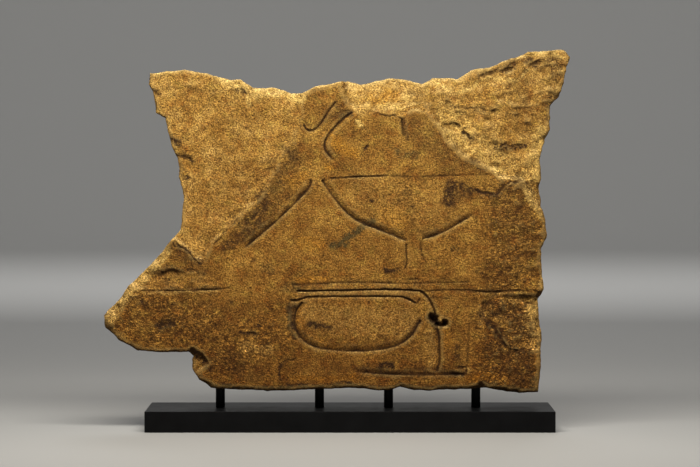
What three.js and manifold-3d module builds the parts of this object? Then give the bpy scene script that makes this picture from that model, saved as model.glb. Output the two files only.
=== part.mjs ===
// A broken slab of carved sandstone, held up by four steel rods on a flat black base.
// Millimetres, +Z up, the carved face towards -Y. The origin is the middle of the base's underside.

import * as THREE from "three";
import { mergeVertices } from "three/addons/utils/BufferGeometryUtils.js";
import Module from "manifold-3d";

const wasm = await Module();
wasm.setup();

// Base
const BASE_WIDTH = 484;
const BASE_DEPTH = 110;
const BASE_THICKNESS = 25;
const BASE_CHAMFER = 0.8;

// Rods, with their places along the slab in units of the drawing grid
const ROD_DIAMETER = 11;
const ROD_SIDES = 32;
const ROD_PLACES = [115, 215.5, 285.5, 374];
const ROD_INTO_BASE = 12;
const ROD_INTO_SLAB = 28;
const FIT_GAP = 0.3;

// Slab
const SLAB_WIDTH = 554;
const SLAB_HEIGHT = 408.5;
const SLAB_THICKNESS = 60;
const SLAB_LIFT = 18.6; // from the base's top to the slab's lowest corner
const SLAB_SHIFT = -15.3; // of the slab's middle from the base's middle, along X
const CUT_DEPTH = 3; // of the main carved lines
const CUT_CURVE = 1.6; // 1 is a straight-sided cut, more is a rounder brow and a sharper bottom
const DRILL_DEPTH = 9; // of the two drilled pits
const EDGE_WEAR = 0.75; // fall of a worn edge for each unit of its width
const WEAR_CURVE = 1.2; // 1 is a straight chamfer, more is a hollow one

// The slab is drawn on a grid, whose lowest numbers and size are those of the slab's box. Carving, breaks
// and mesh spacings below are in its units, and depths are in millimetres.
const GRID_LEFT = -1;
const GRID_BOTTOM = -2;
const GRID_WIDE = 469;
const GRID_HIGH = 345.5;

// How finely the faces are drawn
const OUTLINE_STEP = 8;
const CARVING_STEP = 6;
const FACE_STEP = 10;
const BACK_STEP = 26;
const FACE_CLEARANCE = 4.2;
const SIDE_LAYERS = [0.3, 0.66, 1];

// The broken outline, clockwise from the upper left corner: [x, z, width of the worn edge].
const EDGE_WIDTH = 2.6;
const TOP_EDGE = [
  [45, 319.5], [80, 323], [104, 319], [127, 312.5, 5], [137, 312.5, 8], [149, 304.5, 10], [171, 305, 9],
  [187, 300, 6], [198, 299.5, 5], [212.5, 306], [230.5, 309.5], [244, 312], [257, 308], [284, 314],
  [299, 314], [319, 309], [329, 314.5], [354, 313.5], [367.5, 322.5], [383.5, 324], [426, 341.5],
];
const RIGHT_EDGE = [
  [462.5, 343.5, 4], [468, 336], [461.5, 309.5], [456.5, 294], [449, 286.5], [447, 262], [438, 237.5],
  [439, 221], [437, 203, 5], [438.5, 186.5, 5], [441.5, 176], [444, 156], [438, 143], [441, 103],
  [435.5, 92.5, 5], [436.5, 73.5, 6], [439.5, 59, 6], [437.5, 42], [438, 27],
];
const BOTTOM_EDGE = [
  [435.5, -0.5], [416, -2, 4], [398, 1, 6], [384, 3.5, 7], [358, 2.5, 5], [336, 1.5], [311, 1.5],
  [297, 4.5, 4], [284, 1], [246, 4, 4], [226, 3], [164, 0.5], [107, 4, 4],
];
const LEFT_EDGE = [
  [95, 12, 4], [88.5, 22], [87, 32, 5], [89, 35.5, 5], [84, 39.5], [33.5, 41], [15, 52, 4], [1.5, 64, 5],
  [-1, 76.5, 7], [10.5, 88, 9], [27, 110, 8], [46, 127, 7], [60.5, 143.5, 5], [76, 162.5], [79, 197],
  [74.5, 214.5], [73, 234], [67, 248], [60.5, 274.5], [51, 279.5], [49.5, 295], [43.5, 308.5],
];
const OUTLINE = [...TOP_EDGE, ...RIGHT_EDGE, ...BOTTOM_EDGE, ...LEFT_EDGE];

// Broken areas of the face. Each falls by step over a ramp inside its edge, then leans back by fall
// millimetres for each unit along its direction, counted from a point of its edge.
const BREAKS = [
  {
    name: "upper left",
    edge: [[199, 328.5], [200, 273.5], [193, 252.5], [186, 242.5], [179, 233.5], [171, 219.5], [163, 199.5],
      [151, 187.5], [137, 175.5], [126, 163.5], [109, 147.5], [100, 129.5], [97, 128.5],
      [69, 151.5], [21, 188.5], [21, 348.5]],
    step: 1.6, ramp: 5, from: [171, 219.5], direction: [-0.86, 0.5], fall: 0.11, rough: 1.1,
  },
  {
    name: "left hollow",
    edge: [[65, 153.5], [97, 128.5], [113, 124.5], [127, 110.5], [119, 103.5], [87, 102], [35, 101.5],
      [11, 108.5]],
    step: 3.4, ramp: 4, from: [97, 128.5], direction: [-1, 0], fall: 0.02, rough: 1.2,
  },
  {
    name: "top scar",
    edge: [[234, 343.5], [238, 303.5], [249, 280.5], [259, 274.5], [271, 281.5], [283, 275.5], [299, 272],
      [307, 280.5], [323, 279.5], [336, 268.5], [346, 298.5], [351, 343.5]],
    step: 0.6, ramp: 3, from: [271, 279.5], direction: [0, 1], fall: 0.4, rough: 1.4,
  },
  {
    name: "upper right slope",
    edge: [[323, 279.5], [342, 254.5], [354, 239.5], [367, 228.5], [382, 223.5], [390, 218.5], [402, 211.5],
      [418, 208.5], [424, 196.5], [433, 183.5], [481, 174.5], [481, 358.5], [321, 358.5]],
    step: 7.5, ramp: 15, from: [390, 218.5], direction: [0.58, 0.81], fall: 0.085, rough: 1.6,
  },
  {
    name: "lower right",
    edge: [[377, 74.5], [394, 63.5], [400, 51.5], [407, 42.5], [419, 39.5], [471, 36.5], [471, 90.5],
      [405, 90.5]],
    step: 2.6, ramp: 4, from: [401, 58.5], direction: [1, 0], fall: 0.03, rough: 1.4,
  },
  {
    name: "notch corner",
    edge: [[81, 38.5], [93, 51.5], [100, 41.5], [104, 27.5], [87, 18.5], [71, 28.5]],
    step: 3.6, ramp: 3, from: [100, 41.5], direction: [-1, 0], fall: 0.06, rough: 0.8,
  },
];

// Carved lines, as points of a smooth curve. depth is a share of CUT_DEPTH. left and right are how far
// the cut slopes on each side of the line's direction: broad towards the figure, narrow towards the field.
// fade is the length over which it runs out at its start and at its end.
const CUT_FADE = [2, 2];
const CARVING = [
  { name: "bowl rim", depth: 0.55, left: 1.4, right: 1.8, fade: [3, 12],
    line: [[225, 213.7], [236, 214.5], [256, 215.6], [277, 216.3], [290, 216.2]] },
  { name: "bowl rim, right part", depth: 0.3, left: 1.4, right: 1.8, fade: [4, 6],
    line: [[284, 216.2], [317, 215.5], [347, 216.9], [389, 217.5]] },
  { name: "bowl, left side", depth: 1, left: 7, right: 1.7,
    line: [[218, 212.5], [225, 202], [232.5, 192], [243, 180], [257, 169.8], [277, 162], [304, 151]] },
  { name: "bowl, right side", depth: 0.9, left: 6, right: 1.7, fade: [2, 16],
    line: [[318, 153], [337, 159], [357, 170], [374, 181]] },
  { name: "stem, left side", depth: 0.7, left: 3, right: 1.6,
    line: [[302.8, 149.5], [302.8, 138.5], [303.3, 129.5], [301.3, 122.5]] },
  { name: "stem, right side", depth: 0.45, left: 1.6, right: 3.5, fade: [2, 8],
    line: [[317.5, 152.5], [318, 141.5], [321, 132.5], [326, 127.5]] },
  { name: "stem foot", depth: 0.5, left: 1.5, right: 1.5, fade: [2, 6],
    line: [[304, 112.5], [313, 113], [322, 112.3]] },
  { name: "shelf top", depth: 0.42, left: 2.6, right: 1.4,
    line: [[187, 107], [217, 108.5], [242, 109.5], [277, 109], [312, 108.7], [367, 110]] },
  { name: "shelf middle", depth: 0.85, left: 1.3, right: 2,
    line: [[192, 101], [226, 101.5], [281, 102.5], [300, 102.2], [319, 101.2]] },
  { name: "shelf right", depth: 0.5, left: 1.4, right: 2, fade: [2, 24],
    line: [[321, 101.2], [362, 102], [387, 100], [409, 101.5], [435, 101]] },
  { name: "shelf foot, right", depth: 0.35, left: 1.2, right: 1.5, fade: [3, 4],
    line: [[326, 95.6], [336, 94.1], [343, 93.6], [350, 92.7]] },
  { name: "left ground line", depth: 0.6, left: 3, right: 1.4, fade: [2, 20],
    line: [[35, 101.5], [62, 101.5], [109, 102.5], [132, 105.5]] },
  { name: "oval, top", depth: 0.85, left: 1.4, right: 2.4,
    line: [[186, 92.3], [193, 91.8], [201, 94], [211, 95.3], [286, 95.5], [301, 94.5], [313.5, 88]] },
  { name: "oval, sides and foot", depth: 1, left: 7, right: 2,
    line: [[198.5, 91], [192.5, 81], [191, 70], [193.5, 60], [203, 49.3], [219, 43.3], [246, 40.7],
      [276, 42.3], [295, 47], [307, 55.5], [313, 64.5], [318, 72.5]] },
  { name: "knot", depth: 1.05, left: 1.9, right: 1.9,
    line: [[316, 101.5], [322, 97.5], [327, 90.5], [331, 81], [333, 76]] },
  { name: "knot, inner side", depth: 0.4, left: 1.5, right: 1.5,
    line: [[317.5, 95.5], [315, 90.5], [311.5, 87]] },
  { name: "leg", depth: 0.85, left: 1.6, right: 9,
    line: [[333.2, 65], [335, 59.4], [336, 53.4], [336.2, 43], [336.3, 31.4], [335.6, 26.4], [333.5, 19]] },
  { name: "post beside the leg", depth: 0.25, left: 4, right: 3,
    line: [[372, 89.5], [369, 78.5], [366, 66.5], [365, 46.5], [364, 23.5]] },
  { name: "ground line", depth: 0.7, left: 5, right: 1.6, fade: [16, 4],
    line: [[247, 20.5], [263, 19], [297, 17.2], [327, 16.8], [363, 17]] },
  { name: "ground line, right end", depth: 1, left: 3, right: 2, fade: [8, 1],
    line: [[342, 17.8], [352, 17.6], [362, 17.4]] },
  { name: "foot of the post", depth: 0.6, left: 1.6, right: 3, fade: [4, 1],
    line: [[350, 24.7], [357, 24.8], [363, 24.6]] },
  { name: "side of the post's foot", depth: 0.8, left: 1.6, right: 1.6,
    line: [[363, 27], [363.3, 21], [362.8, 15.5]] },
  { name: "arm, right side", depth: 0.95, left: 1.7, right: 7, fade: [4, 10],
    line: [[207, 214], [207, 208], [202.3, 200.7], [192.5, 190.7], [177.3, 175.6], [159.5, 160.2],
      [151, 153], [139, 142.5]] },
  { name: "hook", depth: 0.85, left: 1.8, right: 1.8,
    line: [[199.5, 268.5], [202, 264], [206.3, 261.6], [211, 262.8], [215.5, 267], [219, 271.5],
      [224, 279.5], [229.5, 287], [232.7, 291]] },
  { name: "curl", depth: 0.95, left: 4, right: 1.7, fade: [2, 8],
    line: [[249, 280.5], [242.5, 275.5], [234.5, 268.5], [226.5, 260], [221.5, 251.5], [220.7, 246],
      [222.2, 240.7], [226.3, 236], [233, 230]] },
  { name: "line under the scar", depth: 0.5, left: 1.3, right: 3,
    line: [[272, 280.5], [279, 278], [286, 276.3], [292, 277], [299, 273.5]] },
  { name: "step under the scar", depth: 0.6, left: 5, right: 1.5, fade: [2, 5],
    line: [[298, 274.5], [299, 263], [300, 254]] },
  { name: "between the pits", depth: 2, left: 2.6, right: 2.6,
    line: [[331, 71], [335, 67.5], [341, 66]] },
  { name: "left crack", depth: 0.9, left: 1.4, right: 1.6,
    line: [[69, 151.5], [81, 142.5], [97, 128.5]] },
  { name: "right crack", depth: 0.9, left: 2, right: 3,
    line: [[378, 74], [386, 69.5], [394, 64.5], [400, 54], [407.5, 43.5], [419, 40]] },
];

// Drilled pits in the face: [x, z, radius].
const PITS = [[329.2, 71, 4.9], [341.5, 67.1, 4.2]];

// From the grid to millimetres.
const gridX = (x) => SLAB_SHIFT + ((x - GRID_LEFT) / GRID_WIDE - 0.5) * SLAB_WIDTH;
const gridZ = (z) => BASE_THICKNESS + SLAB_LIFT + ((z - GRID_BOTTOM) / GRID_HIGH) * SLAB_HEIGHT;
const faceY = (depth) => depth - SLAB_THICKNESS / 2;

// Smooth noise from -1 to 1, the same each time for one place and seed.
function latticeValue(i, j, seed) {
  const wave = Math.sin(i * 127.1 + j * 311.7 + seed * 74.7) * 43758.5453;
  return 2 * (wave - Math.floor(wave)) - 1;
}

function noise(x, z, seed) {
  const i = Math.floor(x);
  const j = Math.floor(z);
  const u = THREE.MathUtils.smoothstep(x - i, 0, 1);
  const v = THREE.MathUtils.smoothstep(z - j, 0, 1);
  const low = THREE.MathUtils.lerp(latticeValue(i, j, seed), latticeValue(i + 1, j, seed), u);
  const high = THREE.MathUtils.lerp(latticeValue(i, j + 1, seed), latticeValue(i + 1, j + 1, seed), u);
  return THREE.MathUtils.lerp(low, high, v);
}

// The nearest point of a line of points: its distance, how far along it lies, and the side it is on.
function nearest(line, x, z, closed = false) {
  let best = { distance: Infinity, segment: 0, share: 0, side: 1 };
  const count = closed ? line.length : line.length - 1;
  for (let i = 0; i < count; i++) {
    const [ax, az] = line[i];
    const [bx, bz] = line[(i + 1) % line.length];
    const dx = bx - ax;
    const dz = bz - az;
    const share = THREE.MathUtils.clamp(((x - ax) * dx + (z - az) * dz) / (dx * dx + dz * dz), 0, 1);
    const distance = Math.hypot(x - ax - share * dx, z - az - share * dz);
    if (distance < best.distance) {
      best = { distance, segment: i, share, side: Math.sign(dx * (z - az) - dz * (x - ax)) || 1 };
    }
  }
  return best;
}

function inside(polygon, x, z) {
  let odd = false;
  for (let i = 0, j = polygon.length - 1; i < polygon.length; j = i++) {
    const [ax, az] = polygon[i];
    const [bx, bz] = polygon[j];
    if (az > z !== bz > z && x < ((bx - ax) * (z - az)) / (bz - az) + ax) odd = !odd;
  }
  return odd;
}

// A smooth curve through a carved line's points, in even steps.
function smoothLine(points, step) {
  const curve = new THREE.SplineCurve(points.map(([x, z]) => new THREE.Vector2(x, z)));
  const count = Math.max(2, Math.round(curve.getLength() / step));
  return curve.getSpacedPoints(count).map((p) => [p.x, p.y]);
}

// The outline in short steps, each roughened by a little noise across its edge.
const OUTLINE_ROUGHNESS = 0.7;
const OUTLINE_NOISE_LENGTH = 9;
function roughOutline() {
  const ring = [];
  let travelled = 0;
  OUTLINE.forEach(([ax, az, aw = EDGE_WIDTH], i) => {
    const [bx, bz, bw = EDGE_WIDTH] = OUTLINE[(i + 1) % OUTLINE.length];
    const length = Math.hypot(bx - ax, bz - az);
    const count = Math.max(1, Math.round(length / OUTLINE_STEP));
    for (let k = 0; k < count; k++) {
      const share = k / count;
      const along = travelled + share * length;
      const push = k ? OUTLINE_ROUGHNESS * noise(along / OUTLINE_NOISE_LENGTH, 0.5, 3) : 0;
      ring.push({
        x: ax + share * (bx - ax) - (push * (bz - az)) / length,
        z: az + share * (bz - az) + (push * (bx - ax)) / length,
        wear: THREE.MathUtils.lerp(aw, bw, share),
      });
    }
    travelled += length;
  });
  return ring;
}

const ring = roughOutline();
const ringPolygon = ring.map(({ x, z }) => [x, z]);
const CURVE_STEP = 3;
const carvedLines = CARVING.map((cut) => {
  return { fade: CUT_FADE, ...cut, curve: smoothLine(cut.line, CURVE_STEP) };
});

// How far back each kind of feature takes the face, in millimetres.
function breakDepth(x, z) {
  let deepest = 0;
  for (const { edge, step, ramp, from, direction, fall, rough } of BREAKS) {
    if (!inside(edge, x, z)) continue;
    const within = nearest(edge, x, z, true).distance;
    const away = (x - from[0]) * direction[0] + (z - from[1]) * direction[1];
    const lumps = rough * noise(x / 17, z / 13, 5) + 0.6 * rough * noise(x / 8, z / 7, 6);
    const plane = step + fall * Math.max(0, away) + lumps * THREE.MathUtils.smoothstep(within, 0, 14);
    deepest = Math.max(deepest, plane * THREE.MathUtils.smoothstep(within, 0, ramp));
  }
  return deepest;
}

function carvedDepth(x, z) {
  let deepest = 0;
  for (const { curve, depth, left, right, fade } of carvedLines) {
    const { distance, segment, share, side } = nearest(curve, x, z);
    const reach = side > 0 ? left : right;
    if (distance >= reach) continue;
    const fromStart = CURVE_STEP * (segment + share);
    const fromEnd = CURVE_STEP * (curve.length - 1) - fromStart;
    const strength = Math.min(1, fromStart / fade[0], fromEnd / fade[1]);
    deepest = Math.max(deepest, depth * strength * CUT_DEPTH * (1 - distance / reach) ** CUT_CURVE);
  }
  for (const [px, pz, radius] of PITS) {
    const distance = Math.hypot(x - px, z - pz);
    if (distance < radius) deepest = Math.max(deepest, DRILL_DEPTH * Math.min(1, (radius - distance) / 1.2));
  }
  return deepest;
}

function wornDepth(x, z) {
  const { distance, segment, share } = nearest(ringPolygon, x, z, true);
  const wear = THREE.MathUtils.lerp(ring[segment].wear, ring[(segment + 1) % ring.length].wear, share);
  return distance < wear ? EDGE_WEAR * wear * (1 - distance / wear) ** WEAR_CURVE : 0;
}

function faceDepth(x, z) {
  const swell = 0.9 * (1 + noise(x / 60, z / 50, 1)) + 0.4 * noise(x / 21, z / 19, 2);
  return Math.max(breakDepth(x, z), carvedDepth(x, z)) + wornDepth(x, z) + Math.max(0, swell);
}

function backDepth(x, z) {
  return SLAB_THICKNESS - 2.2 * (1 + noise(x / 38, z / 33, 8)) - 0.8 * (1 + noise(x / 15, z / 16, 9));
}

// Joins points into triangles by Bowyer and Watson's method, and keeps those inside the polygon.
function triangulate(points, polygon) {
  const far = 1e5;
  const all = [...points, [-far, -far], [far, -far], [0, far]];
  const last = points.length;
  const circled = (a, b, c) => {
    const [ax, az] = all[a];
    const [bx, bz] = [all[b][0] - ax, all[b][1] - az];
    const [cx, cz] = [all[c][0] - ax, all[c][1] - az];
    const twice = 2 * (bx * cz - bz * cx);
    const ux = (cz * (bx * bx + bz * bz) - bz * (cx * cx + cz * cz)) / twice;
    const uz = (bx * (cx * cx + cz * cz) - cx * (bx * bx + bz * bz)) / twice;
    return { a, b, c, x: ax + ux, z: az + uz, square: ux * ux + uz * uz };
  };
  let triangles = [circled(last, last + 1, last + 2)];
  points.forEach(([x, z], p) => {
    const rim = new Map();
    const kept = [];
    for (const t of triangles) {
      if ((x - t.x) ** 2 + (z - t.z) ** 2 > t.square) {
        kept.push(t);
        continue;
      }
      for (const [i, j] of [[t.a, t.b], [t.b, t.c], [t.c, t.a]]) {
        if (rim.has(`${j},${i}`)) rim.delete(`${j},${i}`);
        else rim.set(`${i},${j}`, [i, j]);
      }
    }
    for (const [i, j] of rim.values()) kept.push(circled(i, j, p));
    triangles = kept;
  });
  const middle = (t, k) => (all[t.a][k] + all[t.b][k] + all[t.c][k]) / 3;
  return triangles
    .filter((t) => Math.max(t.a, t.b, t.c) < last && inside(polygon, middle(t, 0), middle(t, 1)))
    .map((t) => [t.a, t.b, t.c]);
}

// Adds to points those that keep clear of every point there, and of the outline.
function addClear(points, polygon, candidates, clearance, fromEdge) {
  for (const [x, z] of candidates) {
    if (!inside(polygon, x, z) || nearest(polygon, x, z, true).distance < fromEdge) continue;
    if (points.every(([px, pz]) => Math.hypot(px - x, pz - z) > clearance)) points.push([x, z]);
  }
}

// Rows of points along a line: on it, and at the end of its slope on each side.
function rowsAlong(curve, offsets) {
  const rows = [];
  curve.forEach(([x, z], i) => {
    const [ax, az] = curve[Math.max(0, i - 1)];
    const [bx, bz] = curve[Math.min(curve.length - 1, i + 1)];
    const length = Math.hypot(bx - ax, bz - az);
    for (const offset of offsets) {
      rows.push([x - (offset * (bz - az)) / length, z + (offset * (bx - ax)) / length]);
    }
  });
  return rows;
}

function pitPoints() {
  const points = [];
  for (const [x, z, radius] of PITS) {
    for (const share of [1, 0.66]) {
      for (let k = 0; k < 10; k++) {
        const angle = (2 * Math.PI * k) / 10;
        points.push([x + share * radius * Math.cos(angle), z + share * radius * Math.sin(angle)]);
      }
    }
  }
  return points;
}

function hexagonalPoints(step) {
  const points = [];
  const rise = step * Math.sin(Math.PI / 3);
  for (let row = 0; row * rise < GRID_HIGH; row++) {
    for (let x = (row % 2) * 0.5 * step; x < GRID_WIDE; x += step) {
      const z = row * rise;
      points.push([x + 0.2 * step * noise(x, z, 11), z + 0.2 * step * noise(x, z, 12)]);
    }
  }
  return points;
}

function facePoints() {
  const points = ringPolygon.map((p) => [...p]);
  addClear(points, ringPolygon, pitPoints(), 0.5, 2);
  for (const { line, left, right } of CARVING) {
    const curve = smoothLine(line, CARVING_STEP);
    addClear(points, ringPolygon, rowsAlong(curve, [0, left, -right]), 1.2, 1.5);
  }
  for (const { edge, ramp } of BREAKS) {
    const closed = new THREE.Path(edge.map(([x, z]) => new THREE.Vector2(x, z))).closePath();
    const steps = Math.round(closed.getLength() / FACE_STEP);
    const curve = closed.getSpacedPoints(steps).map((p) => [p.x, p.y]);
    addClear(points, ringPolygon, rowsAlong(curve, [0, -ramp]), 2.4, 2);
  }
  const arris = ring.flatMap(({ x, z, wear }, i) => {
    const before = ring[(i + ring.length - 1) % ring.length];
    const after = ring[(i + 1) % ring.length];
    const length = Math.hypot(after.x - before.x, after.z - before.z);
    const into = wear / length;
    return [[x + into * (after.z - before.z), z - into * (after.x - before.x)]];
  });
  addClear(points, ringPolygon, arris, 2.2, 1.8);
  addClear(points, ringPolygon, hexagonalPoints(FACE_STEP), 0.6 * FACE_STEP, FACE_CLEARANCE);
  return points;
}

// The outline at a share of the slab's thickness, drawn in by the roughness of the break.
const SIDE_ROUGHNESS = 5.5;
function sideRing(share) {
  return ring.map(({ x, z }, i) => {
    const before = ring[(i + ring.length - 1) % ring.length];
    const after = ring[(i + 1) % ring.length];
    const length = Math.hypot(after.x - before.x, after.z - before.z);
    const broad = noise(x / 22 + 7 * share, z / 22 - 5 * share, 7);
    const rough = broad + 0.5 * noise(x / 9, z / 9 + 8 * share, 10);
    const drawn = SIDE_ROUGHNESS * Math.sqrt(share) * (0.6 + 0.4 * rough);
    const into = drawn / length;
    return [x + into * (after.z - before.z), z - into * (after.x - before.x)];
  });
}

// The slab as one closed surface: its carved face, layers of its broken side, and its back.
function slabGeometry() {
  const vertices = [];
  const faces = [];
  const count = ring.length;
  const add = (x, z, depth) => vertices.push(gridX(x), faceY(depth), gridZ(z)) / 3 - 1;

  const front = facePoints();
  front.forEach(([x, z]) => add(x, z, faceDepth(x, z)));
  triangulate(front, ringPolygon).forEach(([a, b, c]) => faces.push(a, b, c));

  let above = ring.map((_, i) => i);
  const edgeDepth = ring.map(({ x, z }) => faceDepth(x, z));
  let backRing = ringPolygon;
  for (const share of SIDE_LAYERS) {
    backRing = sideRing(share);
    const below = backRing.map(([x, z], i) => {
      return add(x, z, THREE.MathUtils.lerp(edgeDepth[i], backDepth(x, z), share));
    });
    for (let i = 0; i < count; i++) {
      const j = (i + 1) % count;
      faces.push(above[i], above[j], below[j], above[i], below[j], below[i]);
    }
    above = below;
  }

  const back = backRing.map((p) => [...p]);
  addClear(back, backRing, hexagonalPoints(BACK_STEP), 0.6 * BACK_STEP, 0.4 * BACK_STEP);
  const index = back.map(([x, z], i) => (i < count ? above[i] : add(x, z, backDepth(x, z))));
  triangulate(back, backRing).forEach(([a, b, c]) => faces.push(index[c], index[b], index[a]));

  const geometry = new THREE.BufferGeometry();
  geometry.setAttribute("position", new THREE.Float32BufferAttribute(vertices, 3));
  geometry.setIndex(faces);
  return geometry;
}

// Between three.js geometry and solids that can be cut.
function toSolid(geometry) {
  const bare = geometry.clone();
  bare.deleteAttribute("normal");
  bare.deleteAttribute("uv");
  const merged = mergeVertices(bare, 1e-3);
  return new wasm.Manifold(
    new wasm.Mesh({
      numProp: 3,
      vertProperties: merged.attributes.position.array,
      triVerts: new Uint32Array(merged.index.array),
    }),
  );
}

function toGeometry(solid) {
  const mesh = solid.getMesh();
  const geometry = new THREE.BufferGeometry();
  geometry.setAttribute("position", new THREE.BufferAttribute(new Float32Array(mesh.vertProperties), 3));
  geometry.setIndex(new THREE.BufferAttribute(new Uint32Array(mesh.triVerts), 1));
  geometry.computeVertexNormals();
  return geometry;
}

function uprightCylinder(radius, bottom, top, x) {
  const geometry = new THREE.CylinderGeometry(radius, radius, top - bottom, ROD_SIDES);
  return geometry.rotateX(Math.PI / 2).translate(x, 0, (bottom + top) / 2);
}

// The slab's lowest height over a place on the grid, on the outline as it is drawn.
function undersideHeight(place) {
  let lowest = Infinity;
  ringPolygon.forEach(([ax, az], i) => {
    const [bx, bz] = ringPolygon[(i + 1) % ringPolygon.length];
    if (ax > place === bx > place) return;
    lowest = Math.min(lowest, az + ((bz - az) * (place - ax)) / (bx - ax));
  });
  return gridZ(lowest);
}

const rods = ROD_PLACES.map((place) => ({
  x: gridX(place),
  bottom: BASE_THICKNESS - ROD_INTO_BASE,
  top: undersideHeight(place) + ROD_INTO_SLAB,
}));

// Cuts each rod's seat, which is a fit gap larger than the rod all round and at its end.
function cutSeats(geometry, ends) {
  let solid = toSolid(geometry);
  for (const { x, from, to } of ends) {
    const seat = uprightCylinder(ROD_DIAMETER / 2 + FIT_GAP, from, to, x);
    solid = solid.subtract(toSolid(seat));
  }
  return toGeometry(solid);
}

function slab() {
  const below = BASE_THICKNESS;
  return cutSeats(slabGeometry(), rods.map(({ x, top }) => ({ x, from: below, to: top + FIT_GAP })));
}

function base() {
  const across = BASE_WIDTH / 2;
  const deep = BASE_DEPTH / 2;
  const cut = BASE_CHAMFER;
  const plan = new THREE.Shape();
  plan.moveTo(-across + cut, -deep).lineTo(across - cut, -deep).lineTo(across, -deep + cut);
  plan.lineTo(across, deep - cut).lineTo(across - cut, deep).lineTo(-across + cut, deep);
  plan.lineTo(-across, deep - cut).lineTo(-across, -deep + cut).closePath();
  const block = new THREE.ExtrudeGeometry(plan, {
    depth: BASE_THICKNESS - 2 * cut,
    bevelSize: cut,
    bevelThickness: cut,
    bevelOffset: -cut,
    bevelSegments: 1,
  }).translate(0, 0, cut);
  const above = BASE_THICKNESS + 1;
  return cutSeats(block, rods.map(({ x, bottom }) => ({ x, from: bottom - FIT_GAP, to: above })));
}

// Materials
const SANDSTONE = new THREE.MeshStandardMaterial({ color: 0xa5773a, roughness: 0.95, metalness: 0 });
const BLACK_LACQUER = new THREE.MeshStandardMaterial({ color: 0x0b0b0b, roughness: 0.35, metalness: 0 });
const BLACK_STEEL = new THREE.MeshStandardMaterial({ color: 0x0d0d0d, roughness: 0.45, metalness: 0.5 });

function named(name, geometry, material) {
  const mesh = new THREE.Mesh(geometry, material);
  mesh.name = name;
  return mesh;
}

const stele = new THREE.Group();
stele.add(named("carved_slab", slab(), SANDSTONE));
stele.add(named("base", base(), BLACK_LACQUER));
rods.forEach(({ x, bottom, top }, i) => {
  const rod = new THREE.CylinderGeometry(ROD_DIAMETER / 2, ROD_DIAMETER / 2, top - bottom, ROD_SIDES);
  const mesh = named(`rod_${i + 1}`, rod.rotateX(Math.PI / 2), BLACK_STEEL);
  mesh.position.set(x, 0, (bottom + top) / 2);
  stele.add(mesh);
});

export default stele;
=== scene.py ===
import math

import bpy
import bmesh
import numpy as np
from mathutils import Matrix, Vector, kdtree
from mathutils.geometry import delaunay_2d_cdt


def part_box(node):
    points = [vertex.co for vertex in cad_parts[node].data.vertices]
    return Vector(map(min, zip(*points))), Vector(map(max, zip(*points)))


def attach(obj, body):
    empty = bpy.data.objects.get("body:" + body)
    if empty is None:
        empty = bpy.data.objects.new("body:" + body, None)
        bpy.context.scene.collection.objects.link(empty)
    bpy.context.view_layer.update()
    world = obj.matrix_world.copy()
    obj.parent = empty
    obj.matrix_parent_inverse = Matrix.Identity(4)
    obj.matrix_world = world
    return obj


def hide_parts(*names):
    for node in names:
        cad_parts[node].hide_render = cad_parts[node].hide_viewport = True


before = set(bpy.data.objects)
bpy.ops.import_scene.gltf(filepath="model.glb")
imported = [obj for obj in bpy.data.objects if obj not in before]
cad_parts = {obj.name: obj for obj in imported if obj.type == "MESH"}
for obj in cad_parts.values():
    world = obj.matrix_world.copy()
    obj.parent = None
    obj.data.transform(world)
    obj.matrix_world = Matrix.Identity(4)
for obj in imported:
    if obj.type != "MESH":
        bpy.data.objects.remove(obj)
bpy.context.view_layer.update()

MM = 0.001

# The slab is drawn on a grid, whose lowest numbers and size are those of the slab's box. Outline,
# carving, breaks and mesh spacings are in its units, and depths are in millimetres.
GRID_LOW = np.array([-1, -2])
GRID = np.array([469, 345.5])
SLAB_LOW, SLAB_HIGH = (np.array(corner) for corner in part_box("carved_slab"))
UNIT = (SLAB_HIGH - SLAB_LOW)[[0, 2]] / GRID
THICKNESS = 60
CUT_DEPTH = 3
DRILL_DEPTH = 9
SIDE_ROUGHNESS = 5.5
EDGE_WEAR = 0.75

# How finely the slab is meshed and its marks are drawn, in grid units
OUTLINE_STEP = 1.7
CUT_STEP = 1
MARK_STEP = 2
FACE_STEP = 1.75
BACK_STEP = 4.4
SIDE_LAYERS = 20

# The broken outline, clockwise from the upper left corner: x, z and, where it isn't the usual one, the
# width of the worn edge.
USUAL_WEAR = 2.6
OUTLINE = [
    (45, 319.5), (80, 323), (104, 319), (127, 312.5, 5), (137, 312.5, 8), (149, 304.5, 10), (171, 305, 9),
    (187, 300, 6), (198, 299.5, 5), (212.5, 306), (230.5, 309.5), (244, 312), (257, 308), (284, 314),
    (299, 314), (319, 309), (329, 314.5), (354, 313.5), (367.5, 322.5), (383.5, 324), (426, 341.5),
    (462.5, 343.5, 4), (468, 336), (461.5, 309.5), (456.5, 294), (449, 286.5), (447, 262), (438, 237.5),
    (439, 221), (437, 203, 5), (438.5, 186.5, 5), (441.5, 176), (444, 156), (438, 143), (441, 103),
    (435.5, 92.5, 5), (436.5, 73.5, 6), (439.5, 59, 6), (437.5, 42), (438, 27), (435.5, -0.5), (416, -2, 4),
    (398, 1, 6), (384, 3.5, 7), (358, 2.5, 5), (336, 1.5), (311, 1.5), (297, 4.5, 4), (284, 1), (246, 4, 4),
    (226, 3), (164, 0.5), (107, 4, 4), (95, 12, 4), (88.5, 22), (87, 32, 5), (89, 35.5, 5), (84, 39.5),
    (33.5, 41), (15, 52, 4), (1.5, 64, 5), (-1, 76.5, 7), (10.5, 88, 9), (27, 110, 8), (46, 127, 7),
    (60.5, 143.5, 5), (76, 162.5), (79, 197), (74.5, 214.5), (73, 234), (67, 248), (60.5, 274.5),
    (51, 279.5), (49.5, 295), (43.5, 308.5),
]

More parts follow.
